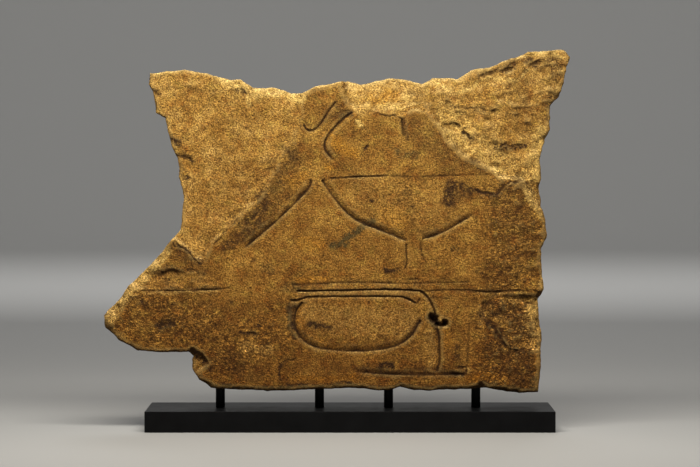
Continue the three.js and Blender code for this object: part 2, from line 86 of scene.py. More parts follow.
# Broken areas of the face. Each falls by its step over its ramp, then leans back by so many millimetres
# a unit along a direction from its start, and has its own roughness, height of ledges and lumpiness.
BREAKS = {
    "upper left": dict(
        step=1.5, ramp=6, start=(171, 219.5), direction=(-0.86, 0.5), lean=0.11, rough=1.1, ledges=0.2,
        lumpy=0.4,
        edge=[(199, 328.5), (200, 273.5), (193, 252.5), (186, 242.5), (179, 233.5), (171, 219.5),
              (163, 199.5), (151, 187.5), (137, 175.5), (126, 163.5), (109, 147.5), (100, 129.5),
              (97, 128.5), (69, 151.5), (21, 188.5), (21, 348.5)]),
    "left hollow": dict(
        step=0.9, ramp=5, start=(97, 128.5), direction=(-1, 0), lean=0.02, rough=1.4, ledges=0.5, lumpy=0.6,
        edge=[(40, 124), (54, 121), (66, 126), (84, 121), (98, 124), (110, 117), (118, 108), (104, 103.5),
              (87, 102), (35, 101.5), (20, 108)]),
    "top scar": dict(
        step=1, ramp=2.4, start=(271, 279.5), direction=(0, 1), lean=0.38, rough=1.5, ledges=1, lumpy=0.9,
        edge=[(234, 343.5), (238, 303.5), (249, 280.5), (259, 274.5), (271, 281.5), (283, 275.5),
              (299, 272), (307, 280.5), (323, 279.5), (336, 268.5), (346, 298.5), (351, 343.5)]),
    "upper right slope": dict(
        step=5, ramp=7, start=(390, 218.5), direction=(0.58, 0.81), lean=0.105, rough=1.9, ledges=1,
        lumpy=1,
        edge=[(323, 279.5), (342, 254.5), (354, 239.5), (367, 228.5), (382, 223.5), (390, 218.5),
              (402, 211.5), (418, 208.5), (424, 196.5), (433, 183.5), (481, 174.5), (481, 358.5),
              (321, 358.5)]),
    "hollow under the top edge": dict(
        step=8, ramp=6, start=(390, 218.5), direction=(0.58, 0.81), lean=0.105, rough=1.6, ledges=0.6,
        lumpy=1,
        edge=[(371, 307), (378, 314), (390, 316), (408, 315), (418, 322), (416, 333), (402, 329),
              (386, 320), (374, 317)]),
    "lower right": dict(
        step=2.4, ramp=5, start=(401, 58.5), direction=(1, 0), lean=0.03, rough=1.4, ledges=0.7, lumpy=0.6,
        edge=[(377, 74.5), (394, 63.5), (400, 51.5), (407, 42.5), (419, 39.5), (471, 36.5), (471, 98),
              (392, 98), (379, 89), (374, 81)]),
    "notch corner": dict(
        step=3.6, ramp=3, start=(100, 41.5), direction=(-1, 0), lean=0.06, rough=0.8, ledges=0.5, lumpy=0.8,
        edge=[(80, 40), (90, 44), (99, 36), (106, 27), (100, 22), (87, 18.5), (71, 28.5)]),
}


def cut(depth, left, right, *line, fade=(2, 2)):
    """A line cut along a smooth curve: how deep it is, how far it slopes on the left and right of its
    direction, and the lengths over which it runs in and out."""
    return dict(depth=depth, left=left, right=right, line=line, fade=fade)


# Carved lines, their depth a share of CUT_DEPTH. They end where the face is broken.
CARVING = {
    "bowl rim": cut(0.55, 1.4, 1.8, (225, 213.7), (236, 214.5), (256, 215.6), (277, 216.3), (290, 216.2),
        fade=(3, 12)),
    "bowl rim, right part": cut(0.3, 1.4, 1.8, (284, 216.2), (317, 215.5), (347, 216.9), (389, 217.5),
        fade=(4, 6)),
    "bowl, left side": cut(1, 7, 1.7, (218, 212.5), (225, 202), (232.5, 192), (243, 180), (257, 169.8),
        (277, 162), (304, 151)),
    "bowl, right side": cut(0.9, 6, 1.7, (318, 153), (337, 159), (357, 170), (374, 181), fade=(2, 16)),
    "stem, left side": cut(0.7, 3, 1.6, (302.8, 149.5), (302.8, 138.5), (303.3, 129.5), (301.3, 122.5)),
    "stem, right side": cut(0.45, 1.6, 3.5, (317.5, 152.5), (318, 141.5), (321, 132.5), (326, 127.5),
        fade=(2, 8)),
    "stem foot": cut(0.5, 1.5, 1.5, (304, 112.5), (313, 113), (322, 112.3), fade=(2, 6)),
    "shelf top": cut(0.42, 2.6, 1.4, (187, 107), (217, 108.5), (242, 109.5), (277, 109), (312, 108.7),
        (367, 110)),
    "shelf middle": cut(0.85, 1.3, 2, (192, 101), (226, 101.5), (281, 102.5), (300, 102.2), (319, 101.2)),
    "shelf right": cut(0.5, 1.4, 2, (321, 101.2), (362, 102), (387, 100), (409, 101.5), (435, 101),
        fade=(2, 24)),
    "shelf foot, right": cut(0.35, 1.2, 1.5, (326, 95.6), (336, 94.1), (343, 93.6), (350, 92.7),
        fade=(3, 4)),
    "left ground line": cut(0.6, 1.6, 1.4, (35, 101.5), (62, 101.5), (109, 102.5), (132, 105.5),
        fade=(2, 20)),
    "oval, top": cut(0.85, 1.4, 2.4, (186, 92.3), (193, 91.8), (201, 94), (211, 95.3), (286, 95.5),
        (301, 94.5), (313.5, 88)),
    "oval, sides and foot": cut(0.95, 7, 1.9, (198.5, 91), (192.5, 81), (191, 70), (193.5, 60), (203, 49.3),
        (219, 43.3), (246, 40.7), (276, 42.3), (295, 47), (307, 55.5), (313, 64.5), (318, 72.5)),
    "oval, left side": cut(1.2, 3, 6, (194, 87), (191.5, 80), (191, 68), (193.5, 60), fade=(5, 5)),
    "knot": cut(1.05, 1.9, 1.9, (316, 101.5), (322, 97.5), (327, 90.5), (331, 81), (333, 76)),
    "knot, upper part": cut(1, 2.6, 2.6, (319, 100.5), (322.5, 96.5), (325, 93), fade=(1, 3)),
    "knot, inner side": cut(0.4, 1.5, 1.5, (317.5, 95.5), (315, 90.5), (311.5, 87)),
    "leg": cut(1, 2, 9, (332.6, 67.5), (335, 59.4), (336, 53.4), (336.2, 43), (336.3, 31.4), (335.6, 26.4),
        (333.5, 19), fade=(0.5, 2)),
    "inside of leg": cut(0.16, 3, 3, (318.5, 51), (318, 35), (319, 20), fade=(8, 4)),
    "post by leg": cut(0.25, 4, 3, (372, 89.5), (369, 78.5), (366, 66.5), (365, 46.5), (364, 23.5)),
    "ground line": cut(0.7, 5, 1.6, (247, 20.5), (263, 19), (297, 17.2), (327, 16.8), (363, 17),
        fade=(16, 4)),
    "ground line, right end": cut(1, 3, 2, (342, 17.8), (352, 17.6), (362, 17.4), fade=(8, 1)),
    "foot of post": cut(0.4, 1.6, 3, (350, 24.7), (357, 24.8), (363, 24.6), fade=(4, 1)),
    "side of post's foot": cut(0.5, 1.6, 1.6, (363, 27), (363.3, 21), (362.8, 15.5)),
    "arm, right side": cut(0.95, 1.7, 5.5, (207, 214), (207, 208), (202.3, 200.7), (192.5, 190.7),
        (177.3, 175.6), (159.5, 160.2), (151, 153), (139, 142.5), fade=(4, 10)),
    "hook": cut(0.85, 1.8, 1.8, (199.5, 268.5), (202, 264), (206.3, 261.6), (211, 262.8), (215.5, 267),
        (219, 271.5), (224, 279.5), (229.5, 287), (232.7, 291)),
    "curl": cut(0.95, 4, 1.7, (249, 280.5), (242.5, 275.5), (234.5, 268.5), (226.5, 260), (221.5, 251.5),
        (220.7, 246), (222.2, 240.7), (226.3, 236), (233, 230), fade=(2, 8)),
    "line above curl": cut(0.25, 1.3, 1.3, (230, 277), (239, 280.5), (248, 282.5), fade=(4, 3)),
    "line under scar": cut(0.5, 1.3, 3, (272, 280.5), (279, 278), (286, 276.3), (292, 277), (299, 273.5)),
    "step under scar": cut(0.6, 5, 1.5, (298, 274.5), (299, 263), (300, 254), fade=(2, 5)),
    "short line on arm": cut(0.3, 1.3, 1.5, (201, 251), (205, 252), (210, 251.5)),
}

# Drilled pits: x, z, radius.
PITS = [(329.6, 73, 4.8), (333.4, 68.6, 3.3), (341.3, 67.8, 4.2)]

# Cracks and crevices, with their depth in millimetres. They run on over the broken areas.
CRACKS = {
    "between pits": cut(5, 2.8, 2.8, (332, 71), (335.5, 66.8), (341.5, 66), fade=(1, 1)),
    "left": cut(2.4, 1.4, 1.2, (69, 151.5), (81, 142.5), (97, 128.5)),
    "edge of upper left break": cut(1.6, 1.8, 1.2, (109, 148), (117, 155.5), (125, 163)),
    "right": cut(1.5, 2.4, 4, (376, 77.5), (381, 72), (391, 65), (394.5, 58.5), (399, 51), (403, 45),
        (410, 42), (419, 41)),
    "gash in slope": cut(3, 2, 4, (358.5, 261.5), (364, 258.5), (369.5, 252.5), fade=(2, 3)),
    "step across slope": cut(1, 1.5, 4, (350, 285.5), (365, 284.5), (381, 283.5), (394, 279.5)),
    "small gash in slope": cut(1.6, 1.2, 2, (353, 268), (358, 265.5), fade=(1, 1)),
    "ledge near right edge": cut(1.6, 1.4, 3, (397, 247.5), (410, 247), (422, 247.5), fade=(4, 4)),
    "hollow near top": cut(1.6, 4, 5, (403, 325.5), (411, 330)),
    "hollow near corner": cut(1.2, 4, 5, (425, 326), (433, 329.5), (439, 329.5)),
    "hollow under top edge": cut(1.6, 3, 4, (376, 316), (386, 320), (394, 321), fade=(3, 3)),
    "arc in worn side": cut(2, 7, 1.8, (393, 195.5), (399, 203.5), (406, 209), (420, 211), fade=(3, 6)),
    "streak by bowl": cut(1.5, 2.2, 2.2, (369.5, 203), (380, 200.8), (391, 197.5), fade=(3, 2)),
    "nick in upper field": cut(1.4, 1.8, 1.8, (261, 245.4), (265, 246.6), fade=(1, 1)),
    "pit on oval": cut(1.6, 2.6, 2.6, (207.5, 67.5), (214, 65)),
    "left edge, upper crevice": cut(1.5, 2.4, 4, (47.5, 302), (52, 300), (57, 296)),
    "left edge, second crevice": cut(1.2, 2.4, 4, (65.5, 253.5), (71, 251.5), (77, 248.5)),
    "left edge, third crevice": cut(1.3, 2, 4, (70.5, 237.5), (79, 235), (88, 231)),
    "left edge, fourth crevice": cut(0.9, 1.8, 3.4, (77, 216), (82, 215), (88, 212.5)),
    "line in upper left": cut(0.9, 1.2, 1.2, (139, 264.5), (148, 260), (153, 254), (159, 249.5)),
    "corner of upper left": cut(1.5, 2.4, 4, (130.5, 302.5), (137, 302.8), (143, 299)),
    "left hollow, first crevice": cut(0.8, 2, 4, (50, 121), (57, 118.5), (63, 120), fade=(3, 3)),
    "left hollow, second crevice": cut(0.9, 1.4, 3, (80, 121.5), (87, 123), (95, 122), fade=(3, 3)),
    "notch in right edge": cut(1.2, 1.8, 3, (431, 101.5), (437, 98.5), (444, 95.5)),
    "crevice near right edge": cut(1.5, 1.4, 2, (417, 92), (425, 89.5), (433, 90.5), fade=(4, 3)),
    "short line at lower left": cut(1.8, 1.4, 2.4, (132.5, 58.6), (137.5, 60.3), (143.5, 60), (149.5, 58),
        (155.5, 56.8)),
    "pit at left": cut(1.7, 3, 3, (52, 65.5), (60, 68), (70, 71)),
    "line by oval's foot": cut(1, 1.3, 1.6, (180, 30), (186, 31.5), (193.5, 33)),
    "edge by oval's foot": cut(1, 1.5, 3, (176.5, 28), (176, 18), (177.5, 10), fade=(4, 6)),
}


# Marks on the face, each a soft stroke: its strength and width, then the places it runs through.
# Dark marks: partly real dirt and stains, partly painted shadow in hollows and crevices, under ledges, crests
# and the scar, beside breaks and grooves, and along the underside.
DIRT_AND_SHADOW = {
    "patch by bowl": (0.75, 10.5, (347, 206), (346, 198), (348, 192)),
    "patch, upper edge": (0.75, 5, (350, 207.5), (357, 208), (364, 206.5)),
    "patch, middle": (0.6, 10, (354, 202), (365, 201.5)),
    "foot of crest": (0.55, 4.5, (362, 230.5), (372, 229), (382, 223)),
    "face by crest": (0.35, 7, (352, 236), (366, 227), (378, 222)),
    "streak by bowl": (0.95, 3.2, (369.5, 203), (380, 201), (391, 197.5)),
    "under arc": (0.5, 7, (395, 196.5), (403, 205), (421, 209)),
    "nick in upper field": (0.9, 2.2, (261.5, 245.6), (264.5, 246.4)),
    "under scar": (0.5, 3.4, (300, 273), (301.5, 263), (302, 254)),
    "field by slope": (0.3, 20, (318, 262), (332, 248), (348, 232)),
    "pit at left": (1, 5, (54, 66.5), (60, 68), (68, 70.5)),
    "line at lower left": (0.7, 2.6, (138, 60), (146, 59), (155, 57)),
    "notch": (0.75, 4.5, (84, 39), (95, 33), (105, 24)),
    "upper right field": (0.08, 24, (424, 316), (440, 300), (428, 268)),
    "pit on oval": (1, 5, (207.5, 67.5), (214, 65)),
    "tail of that pit": (0.8, 3, (214, 65), (227, 62.5)),
    "by oval": (0.6, 5, (190, 88), (188, 78), (189, 66), (193, 56)),
    "oval's foot, right": (0.5, 4, (303, 52), (310, 60), (316, 71)),
    "left pit": (1, 4.5, (326, 74.5), (330, 69.5), (337, 65)),
    "above ground line": (0.4, 4, (252, 23), (270, 22)),
    "patch above ground line": (0.95, 4.5, (277, 26), (284, 27), (291, 25.5)),
    "foot of post": (0.95, 3.4, (342, 18.5), (352, 18.5), (362, 18.5)),
    "over ground line": (0.4, 5, (262, 21), (300, 20), (340, 21)),
    "right edge near foot": (0.6, 5, (431, 17), (430, 8)),
    "above post's foot": (0.5, 5, (356, 44), (355, 32), (358, 26)),
    "along right crack": (0.7, 5.5, (378, 75), (390, 65), (398, 53), (404, 45), (418, 42)),
    "above right crack": (0.55, 15, (390, 84), (407, 78), (421, 62)),
    "lower right corner": (0.42, 22, (397, 47), (413, 29), (421, 14)),
    "right side": (0.28, 26, (406, 189), (419, 149), (406, 127)),
    "lower right field": (0.2, 24, (398, 130), (400, 104), (398, 92)),
    "between hook and curl": (0.4, 6, (222, 273), (237, 281)),
    "upper end of curl": (0.8, 3, (240, 276), (248, 280)),
    "below arm": (0.5, 8, (121, 145), (141, 161), (159, 171)),
    "by upper left break": (0.2, 8, (198, 262), (191, 245), (184, 232), (177, 218), (168, 202), (156, 187)),
    "that break, first": (0.45, 5.5, (182, 244), (188, 241), (190, 233)),
    "that break, second": (0.5, 8, (157, 196), (161, 187), (156, 179)),
    "that break, third": (0.5, 8, (132, 173), (142, 170), (150, 172)),
    "along left crack": (0.75, 2.2, (71, 151), (81, 142.5), (98, 129)),
    "below left crack": (0.4, 8, (64, 146), (78, 137), (96, 122)),
    "field at left tip": (0.14, 30, (48, 76), (80, 76), (118, 70)),
    "tip crevice": (0.6, 4, (27, 95), (36, 93), (42, 86)),
    "left hollow, middle": (0.45, 9, (54, 120), (64, 113)),
    "above left ground line": (0.4, 2.6, (66, 106), (90, 104), (118, 105)),
    "left hollow": (0.4, 5, (60, 124), (80, 124), (100, 122)),
    "corner of upper left": (0.6, 4, (133, 302), (141, 300)),
    "left edge, first spot": (0.7, 3.6, (49, 301), (55, 297.5)),
    "left edge, second spot": (0.85, 4.4, (67, 253), (73, 250.5)),
    "left edge, third spot": (0.6, 3.4, (71, 238), (88, 232)),
    "left edge, fourth spot": (0.6, 3.2, (76, 216.5), (82, 214.5)),
    "hollow near top right": (0.6, 7.5, (402, 323), (410, 330)),
    "hollow near corner": (0.6, 8, (427, 331), (433, 327)),
    "under top edge": (0.5, 4.5, (377, 318), (396, 322.5)),
    "right edge near corner": (0.5, 7, (446, 331), (456, 331), (452, 315)),
    "underside": (0.85, 4.5, (108, 5), (164, 2.5), (227, 5), (246, 5.5), (284, 3), (297, 6)),
    "underside, middle": (0.85, 4.5, (297, 6), (311, 3), (358, 4.5), (398, 3), (434, 1)),
    "underside, right": (0.7, 6, (357, 0), (377, 5.5), (397, 0.5)),
    "by stem's foot": (0.75, 2.8, (283, 121), (289, 121.5), (295, 120.5)),
    "first spot in bowl": (0.8, 2.2, (268.5, 192.5), (270, 191.5)),
    "second spot in bowl": (0.8, 2.6, (308.5, 188.5), (310.5, 187.5)),
    "third spot in bowl": (0.4, 4.4, (301, 199.5), (306, 198.5)),
    "first spot on arm": (0.7, 2.6, (155.5, 190.5), (157.5, 189.5)),
    "second spot on arm": (0.7, 2.6, (184, 195.5), (186, 194.5)),
    "third spot on arm": (0.7, 2.6, (177.5, 208), (179.5, 207)),
    "spot in left field": (0.6, 2.4, (147.5, 132.5), (149.5, 131.5)),
    "spot over left foot": (0.5, 3.6, (126, 89.5), (130, 88.5)),
    "by lower left line": (0.6, 2.8, (153, 66.5), (157, 64.5)),
    "lower left": (0.3, 15, (119, 36), (136, 26), (151, 18)),
    "edge by oval's foot": (0.6, 2.6, (176.5, 29), (176, 12)),
    "first spot in right field": (0.5, 3.4, (349, 143), (353, 142)),
    "second spot in right field": (0.6, 4.2, (375, 121.5), (379, 120)),
    "step across slope": (0.4, 3.4, (350, 285.5), (365, 284.5), (381, 283.5)),
    "ledge near right edge": (0.75, 4, (394, 246.5), (408, 246.5), (421, 247.5)),
    "brown patch in slope": (0.2, 14, (414, 312), (420, 295), (412, 282)),
    "right edge below corner": (0.5, 7, (452, 302), (446, 288), (443, 272)),
    "gash": (0.6, 3, (359, 261), (364, 258), (369, 253)),
    "under gash": (0.45, 4, (361, 256), (367, 252)),
}
GREY_GROWTH = {
    # The grey-green band by the oval lies in the groove beside it and is partly painted shade.
    "by oval": (0.6, 5.5, (188, 86), (186, 77), (187, 66)),
    "along arm": (0.22, 16, (190, 232), (182, 212), (162, 186), (140, 166)),
    "diagonal stain": (1, 5.5, (268, 171), (260, 166.5), (250.5, 160), (242, 153), (230, 145.8)),
    "end of curl": (0.7, 4.5, (240, 276.5), (248, 280)),
    "below scar": (0.5, 6, (293, 241), (302, 239), (312, 238)),
    "right of scar": (0.3, 10, (313, 300), (322, 288)),
    "end of bowl's side": (0.3, 7, (317, 159.5), (331, 161.5)),
    "left end of shelf": (0.4, 6, (181, 106), (193, 106)),
    "patch in left field": (0.35, 7, (160, 124), (167, 123)),
    "patch by chip": (0.4, 2.8, (259, 263.5), (263, 262.5)),
}
# Paler stone: partly fresh breaks and chips, partly painted highlight on the top edges, the left and right
# edges, the rims of the pits, the lip of the left ground line, and the crests and ridges that face the lamp
# above.
FRESH_STONE_AND_HIGHLIGHTS = {
    "lip of left ground line": (0.45, 2, (38, 100), (75, 100.2), (110, 101)),
    "chip by curl": (1, 2.2, (253.2, 273.4), (257.3, 266.2)),
    "scar": (0.2, 6.5, (251, 306.5), (272, 305), (288, 309), (301, 305)),
    "sides of scar": (0.4, 6, (249, 298), (257, 285), (266, 286)),
    "ledge of scar": (0.6, 4, (277, 287.5), (288, 286), (299, 285)),
    "end of scar": (0.6, 4, (303, 297), (308, 292)),
    "top band": (1, 7.5, (121, 312), (133, 309), (144, 303.5), (152, 299.5), (171, 300), (187, 297),
        (198, 292)),
    "foot of top band": (0.8, 3, (143, 296), (146, 289)),
    "top right corner": (0.7, 3.5, (427, 339), (445, 339), (463, 337)),
    "ridge under top edge": (0.7, 3, (355, 300), (372, 309), (389, 314), (415, 314), (424, 321)),
    "ridge at slope's top": (0.7, 2.6, (330, 311), (347, 301)),
    "ridge under slope's top": (0.5, 3.5, (336, 279), (341, 268)),
    "crest of slope": (0.75, 6.5, (342, 261), (352, 251), (364, 243), (376, 237), (388, 226), (398, 219)),
    "slope beyond its crest": (0.52, 13, (342, 284), (356, 268), (374, 252), (392, 238), (408, 228),
        (426, 218)),
    "strip along right edge": (0.65, 9, (438, 262), (433, 240), (430, 215)),
    "lumps at lower left": (0.4, 9, (140, 46), (165, 42)),
    "end of slope": (0.6, 5.5, (424, 205), (430, 190), (436, 180)),
    "rim of right pit": (1, 1.5, (343.4, 72), (345.4, 69.5)),
    "rim between pits": (0.9, 1.5, (336.6, 73.6), (337.6, 71.6)),
    "chip by ground line": (0.9, 1.6, (364, 26), (367.5, 24.3), (368, 21.3), (366, 19)),
    "facet above left crack": (0.4, 10, (69, 161.5), (81, 153.5), (93, 143.5)),
    "left edge": (1, 8, (2, 75), (14, 89), (30, 109), (48, 126), (62, 142)),
    "left edge near tip": (0.8, 7, (6, 74), (15, 84), (26, 98)),
    "right edge": (0.7, 9, (431, 90), (427, 74), (432, 60)),
    "right edge above notch": (0.6, 4.5, (440, 125), (440, 105)),
    "oval": (0.25, 20, (213, 75.5), (251, 69.5), (301, 71.5)),
    "leg": (0.3, 7, (326, 59.5), (329, 39.5), (327, 25.5)),
    "spot on arm": (0.5, 2.4, (142.5, 167), (144.5, 166)),
    "inside of bowl": (0.1, 30, (262, 203), (300, 190), (340, 192)),
}
OCHRE = {
    "field at arm": (0.4, 8, (186, 208), (198, 218)),
    "between arm and bowl": (0.75, 4, (222, 226.5), (227, 224.5)),
    "inside curl": (0.5, 8, (232, 252), (240, 243), (251, 240)),
    "scar": (0.4, 9, (270, 297), (290, 298)),
    "left side of oval": (0.5, 4.5, (197.5, 82), (197, 64)),
    "foot of oval": (0.4, 5, (211, 52), (229, 46)),
    "under shelf's left end": (0.45, 4.5, (194, 113), (221, 113.5)),
    "field under bowl": (0.35, 9, (199, 150), (216, 146)),
    "below ground line, left": (0.5, 4.5, (190, 13), (225, 14), (251, 13)),
    "below ground line, right": (0.55, 4.5, (366, 13), (384, 14), (403, 12)),
    "facet above left crack": (0.5, 9, (72, 158), (93, 145)),
    "bowl": (0.3, 12, (283, 180), (296, 172)),
    "by leg": (0.4, 6, (343, 60), (347, 46)),
}
ROUGH_SKIN = {
    "right side": (0.95, 42, (406, 194), (416, 149), (409, 117)),
    "left tip": (0.75, 40, (11, 75), (51, 71), (91, 69)),
    "lower right": (0.95, 42, (401, 74), (413, 39), (401, 19)),
    "arm": (0.5, 26, (189, 239), (171, 204), (141, 171)),
    "below shelf, left": (0.75, 32, (121, 39), (161, 59)),
}
MARKS = dict(dirt_and_shadow=DIRT_AND_SHADOW, grey=GREY_GROWTH, pale_stone=FRESH_STONE_AND_HIGHLIGHTS, ochre=OCHRE, rough=ROUGH_SKIN)


# Noise, the same for one place and seed each time
def random_at(i, j, k, seed):
    """A random value from -1 to 1 for each whole-numbered place."""
    wave = np.sin(i * 127.1 + j * 311.7 + k * 269.5 + seed * 74.7) * 43758.5453
    return 2 * (wave - np.floor(wave)) - 1


def smooth(share):
    return share * share * (3 - 2 * share)


def mix(a, b, share):
    return a + (b - a) * share


def noise(x, z, seed):
    """Smooth noise from -1 to 1 over the grid."""
    i, j = np.floor(x), np.floor(z)
    u, v = smooth(x - i), smooth(z - j)
    low = mix(random_at(i, j, 0, seed), random_at(i + 1, j, 0, seed), u)
    high = mix(random_at(i, j + 1, 0, seed), random_at(i + 1, j + 1, 0, seed), u)
    return mix(low, high, v)


def solid_noise(places, size, seed):
    """Smooth noise from -1 to 1 in space, with lumps of that size in millimetres."""
    p = places / size
    i, j, k = np.floor(p).T
    u, v, w = smooth(p.T - np.floor(p.T))
    levels = []
    for up in (0, 1):
        near = mix(random_at(i, j, k + up, seed), random_at(i + 1, j, k + up, seed), u)
        far = mix(random_at(i, j + 1, k + up, seed), random_at(i + 1, j + 1, k + up, seed), u)
        levels.append(mix(near, far, v))
    return mix(levels[0], levels[1], w)


def cells(places, size, seed):
    """Distances, in cells, to the nearest of one random point a cell, and that point's value."""
    p = places / size
    home = np.floor(p)
    nearest = np.full(len(p), 9.0)
    value = np.zeros(len(p))
    for steps in np.ndindex(3, 3, 3):
        cell = home + steps - 1
        middle = np.stack([0.5 + 0.45 * random_at(*cell.T, seed + s) for s in (0.1, 0.2, 0.3)], 1)
        away = np.linalg.norm(cell + middle - p, axis=1)
        closer = away < nearest
        value = np.where(closer, random_at(*cell.T, seed + 0.4), value)
        nearest = np.where(closer, away, nearest)
    return nearest, value


# Lines and polygons on the grid
def smooth_line(points, step):
    """A smooth curve through the points, in even steps."""
    parts = 24
    p = np.array(points, float)
    ends = np.vstack([p[:1], p, p[-1:]])
    share = np.linspace(0, 1, parts, endpoint=False)[:, None]
    fine = []
    for a, b, c, d in zip(ends, ends[1:], ends[2:], ends[3:]):
        into, out = (c - a) / 2, (d - b) / 2
        fine.append(b + into * share + (3 * (c - b) - 2 * into - out) * share**2
                    + (into + out - 2 * (c - b)) * share**3)
    fine = np.vstack(fine + [p[-1:]])
    lengths = np.concatenate([[0], np.cumsum(np.linalg.norm(np.diff(fine, axis=0), axis=1))])
    places = np.linspace(0, lengths[-1], max(2, round(lengths[-1] / step)) + 1)
    return np.stack([np.interp(places, lengths, fine[:, k]) for k in (0, 1)], 1)


def near_line(points, line, reach):
    """For the points within reach of a line: their numbers, distances, places along it and sides."""
    boxed = np.all((points > line.min(0) - reach) & (points < line.max(0) + reach), axis=1).nonzero()[0]
    p = points[boxed]
    best = np.full(len(p), np.inf)
    along = np.zeros(len(p))
    side = np.ones(len(p))
    travelled = 0
    for a, b in zip(line[:-1], line[1:]):
        way = b - a
        length = np.hypot(*way)
        share = np.clip((p - a) @ way / length**2, 0, 1)
        off = p - a - share[:, None] * way
        distance = np.hypot(*off.T)
        closer = distance < best
        best[closer] = distance[closer]
        along[closer] = travelled + share[closer] * length
        side[closer] = np.where(way[0] * off[closer, 1] < way[1] * off[closer, 0], -1, 1)
        travelled += length
    close = best < reach
    return boxed[close], best[close], along[close], side[close], travelled


def inside(polygon, points):
    x, z = points.T
    odd = np.zeros(len(points), bool)
    for (ax, az), (bx, bz) in zip(polygon, np.roll(polygon, -1, axis=0)):
        if az != bz:
            odd ^= ((az > z) != (bz > z)) & (x < (bx - ax) * (z - az) / (bz - az) + ax)
    return odd


def tree_of(points):
    """A search tree of points on the grid."""
    tree = kdtree.KDTree(len(points))
    for number, (x, z) in enumerate(points):
        tree.insert((x, z, 0), number)
    tree.balance()
    return tree


def rough_outline():
    """The outline in short steps, roughened across its edge, with the wear at each point."""
    coarse_step, coarse_rough, fine_rough = 8, 0.7, 0.5
    ring = []
    travelled = 0
    corners = np.array([(*corner, USUAL_WEAR)[:3] for corner in OUTLINE])
    for a, b in zip(corners, np.roll(corners, -1, axis=0)):
        length = np.hypot(*(b - a)[:2])
        count = max(1, round(length / coarse_step))
        shares = np.arange(count + 1) / count
        push = coarse_rough * noise((travelled + shares * length) / 9, np.full(count + 1, 0.5), 3)
        push[[0, -1]] = 0
        steps = max(1, round(length / OUTLINE_STEP))
        share = np.arange(steps) / steps
        along = travelled + share * length
        across = np.interp(share, shares, push)
        for size, seed in ((7, 21), (3.4, 22)):
            across += fine_rough * size / 7 * noise(along / size, np.full(steps, 0.5), seed)
        normal = np.array([a[1] - b[1], b[0] - a[0]]) / length
        places = a[:2] + share[:, None] * (b - a)[:2] + across[:, None] * normal
        ring.append(np.column_stack([places, mix(a[2], b[2], share)]))
        travelled += length
    return np.vstack(ring)


RING = rough_outline()


# The forms of the face, in millimetres behind its front plane
def warped(points, size, amount, seed):
    """The points moved about a little, so that a straight edge drawn through them turns ragged."""
    x, z = points.T / size
    return points + amount * np.stack([noise(x, z, seed), noise(x, z, seed + 1)], 1)


def ledges(x, z):
    """Ragged ledges from 0 to 1: each leans back as it rises, and the next juts out over it."""
    level = z / 12 + 0.9 * noise(x / 38, z / 30, 61) + 0.3 * noise(x / 9, z / 9, 62)
    share = level - np.floor(level)
    jut = 0.18
    rise = np.where(share < 1 - jut, share / (1 - jut), (1 - share) / jut)
    return rise * np.clip(0.35 + 1.3 * noise(x / 30, z / 24, 63), 0, 1)


def break_depth(points):
    """How far the broken areas lie back, and how broken and how lumpy the face is there."""
    far, even_edge, full_break = 40.0, 4, 2.5
    deepest, broken, lumpy = np.zeros((3, len(points)))
    ragged = warped(warped(points, 9, 1.6, 31), 3.5, 0.7, 33)
    x, z = points.T
    for area in BREAKS.values():
        edge = np.array(area["edge"], float)
        within = inside(edge, ragged).nonzero()[0]
        close, distance, *_ = near_line(ragged[within], np.vstack([edge, edge[:1]]), far)
        from_edge = np.full(len(within), far)
        from_edge[close] = distance
        px, pz = x[within], z[within]
        (start_x, start_z), (way_x, way_z) = area["start"], area["direction"]
        away = (px - start_x) * way_x + (pz - start_z) * way_z
        lumps = area["rough"] * (noise(px / 17, pz / 13, 5) + 0.6 * noise(px / 8, pz / 7, 6))
        uneven = (lumps + area["ledges"] * ledges(px, pz)) * smooth(np.clip(from_edge / even_edge, 0, 1))
        plane = area["step"] + area["lean"] * np.maximum(0, away) + uneven
        depth = plane * smooth(np.clip(from_edge / area["ramp"], 0, 1))
        deepest[within] = np.maximum(deepest[within], depth)
        share = np.clip(from_edge / full_break, 0, 1)
        broken[within] = np.maximum(broken[within], share)
        lumpy[within] = np.maximum(lumpy[within], share * area["lumpy"])
    return deepest, broken, lumpy


def cut_depth(points, cuts, scale):
    """How deep the cuts are, and how near to the bottom of one each point lies."""
    hollowness, bottom_width, least_dark = 1.6, 1.4, 0.15
    deepest, in_cut = np.zeros((2, len(points)))
    for one in cuts.values():
        curve = smooth_line(one["line"], CUT_STEP)
        near, distance, along, side, length = near_line(points, curve, max(one["left"], one["right"]))
        run_in, run_out = one["fade"]
        strength = np.clip(np.minimum(along / run_in, (length - along) / run_out), 0, 1)
        strength = strength * (0.9 + 0.3 * noise(along / 11, np.full(len(along), length), 44))
        reach = np.where(side > 0, one["left"], one["right"])
        slope = np.clip(1 - distance / reach, 0, 1)
        deepest[near] = np.maximum(deepest[near], scale * one["depth"] * strength * slope**hollowness)
        dark = min(1, scale * one["depth"] / CUT_DEPTH + least_dark)
        bottom = np.clip(1 + least_dark - distance / bottom_width, 0, 1) * dark
        in_cut[near] = np.maximum(in_cut[near], strength * bottom)
    return deepest, in_cut


def worn_depth(points):
    """How far the worn edge falls back."""
    tree = tree_of(RING[:, :2])
    found = [tree.find((x, z, 0)) for x, z in points]
    distance = np.array([f[2] for f in found])
    x, z = points.T
    wear = RING[[f[1] for f in found], 2] * (0.8 + 0.7 * noise(x / 7, z / 7, 49))
    return EDGE_WEAR * wear * np.clip(1 - distance / wear, 0, 1) ** 1.2


